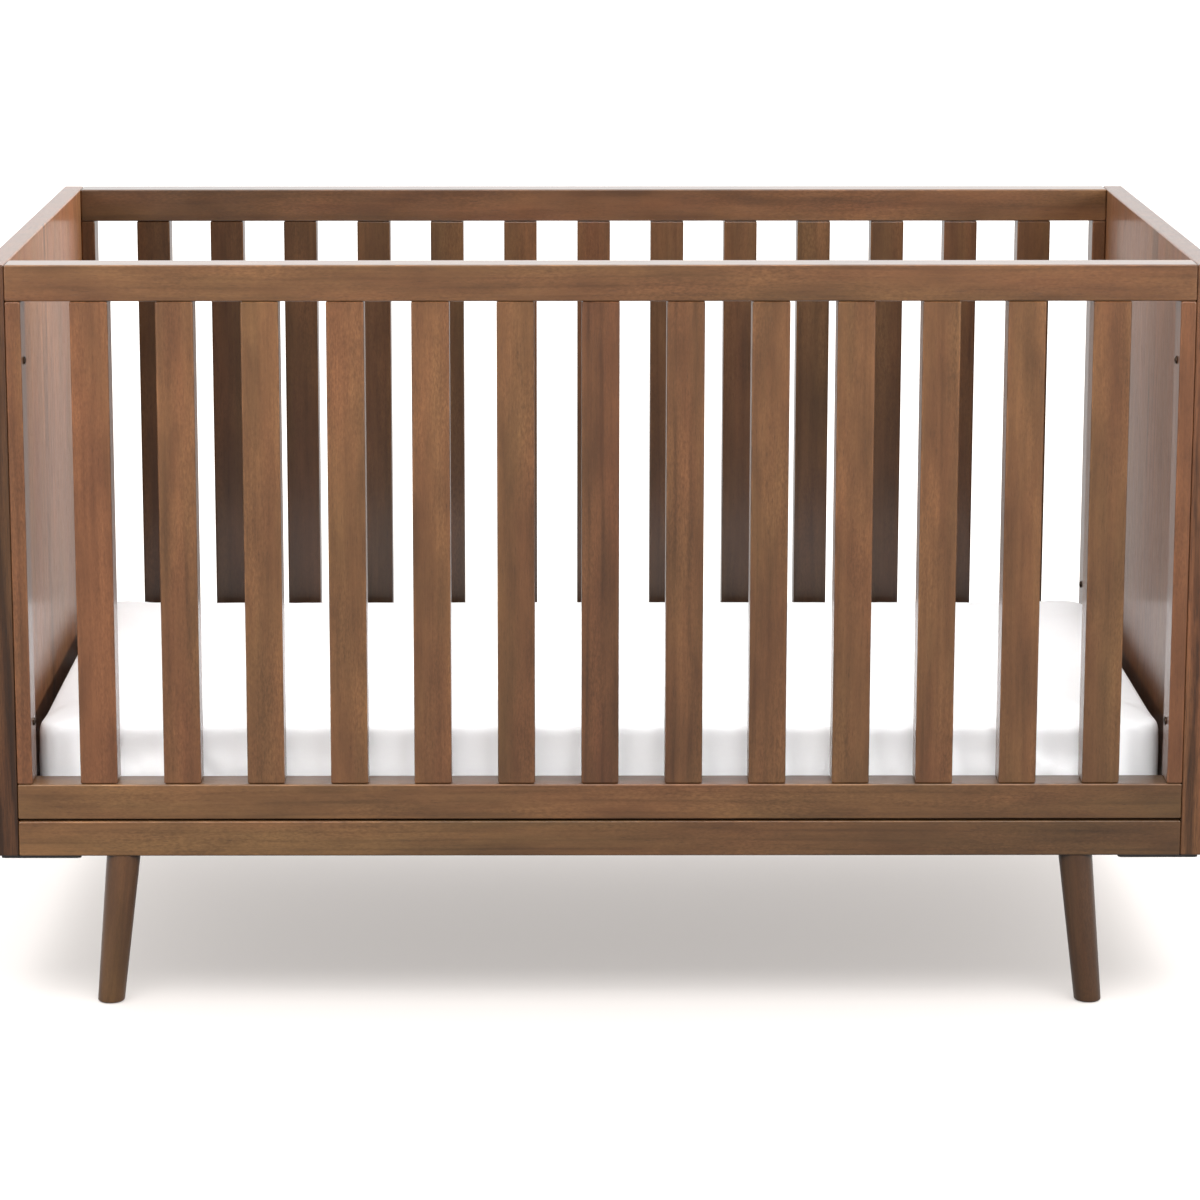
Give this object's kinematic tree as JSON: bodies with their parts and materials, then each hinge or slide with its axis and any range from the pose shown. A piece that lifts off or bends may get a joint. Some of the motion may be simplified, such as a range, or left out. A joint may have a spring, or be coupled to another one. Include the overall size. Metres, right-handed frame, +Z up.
{
  "type": "baby crib",
  "caption": "Wooden baby crib with slatted long sides, solid end panels and splayed round legs, holding a mattress on a height-adjustable steel spring support.",
  "frame": {"origin": "on the floor, under the middle of the crib (bottom centre of the bounding box)", "axes": "+X along the length towards the right-hand end panel, +Y from the front to the back, +Z up; the front side frame is at -Y"},
  "size_m": [1.38, 0.8098, 0.855],
  "materials": {
    "walnut_wood": "satin",
    "panel_veneer": "satin",
    "black_steel": "satin",
    "zinc_steel": "satin",
    "mattress_fabric": "matte",
    "mattress_foam": "matte"
  },
  "bodies": {
    "crib_frame": {"end_panel_left": "panel_veneer", "end_panel_right": "panel_veneer", "front_top_rail": "walnut_wood", "front_bottom_rail": "walnut_wood", "front_stile_left": "walnut_wood", "front_stile_right": "walnut_wood", "front_slat_01": "walnut_wood", "front_slat_02": "walnut_wood", "front_slat_03": "walnut_wood", "front_slat_04": "walnut_wood", "front_slat_05": "walnut_wood", "front_slat_06": "walnut_wood", "front_slat_07": "walnut_wood", "front_slat_08": "walnut_wood", "front_slat_09": "walnut_wood", "front_slat_10": "walnut_wood", "front_slat_11": "walnut_wood", "front_slat_12": "walnut_wood", "front_slat_13": "walnut_wood", "back_top_rail": "walnut_wood", "back_bottom_rail": "walnut_wood", "back_stile_left": "walnut_wood", "back_stile_right": "walnut_wood", "back_slat_01": "walnut_wood", "back_slat_02": "walnut_wood", "back_slat_03": "walnut_wood", "back_slat_04": "walnut_wood", "back_slat_05": "walnut_wood", "back_slat_06": "walnut_wood", "back_slat_07": "walnut_wood", "back_slat_08": "walnut_wood", "back_slat_09": "walnut_wood", "back_slat_10": "walnut_wood", "back_slat_11": "walnut_wood", "back_slat_12": "walnut_wood", "back_slat_13": "walnut_wood", "front_base_rail": "walnut_wood", "leg_front_left": "walnut_wood", "corner_plate_front_left": "black_steel", "leg_front_right": "walnut_wood", "corner_plate_front_right": "black_steel", "back_base_rail": "walnut_wood", "leg_back_left": "walnut_wood", "corner_plate_back_left": "black_steel", "leg_back_right": "walnut_wood", "corner_plate_back_right": "black_steel"},
    "mattress_support": {"support_bar_right": "zinc_steel", "support_bar_left": "zinc_steel", "support_bar_front": "zinc_steel", "support_bar_back": "zinc_steel", "spring_deck": "zinc_steel", "support_bolt_front_left": "zinc_steel", "support_bolt_front_right": "zinc_steel", "support_bolt_back_left": "zinc_steel", "support_bolt_back_right": "zinc_steel"},
    "mattress": {"mattress_cover": "mattress_fabric", "mattress_core": "mattress_foam"}
  },
  "joints": [
    {"name": "support_height", "type": "slide", "parent": "crib_frame", "child": "mattress_support", "axis": [0, 0, 1], "range_m": [0, 0.225]},
    {"name": "mattress_lift", "type": "slide", "parent": "mattress_support", "child": "mattress", "axis": [0, 0, 1], "range_m": [0, 0.7]}
  ]
}
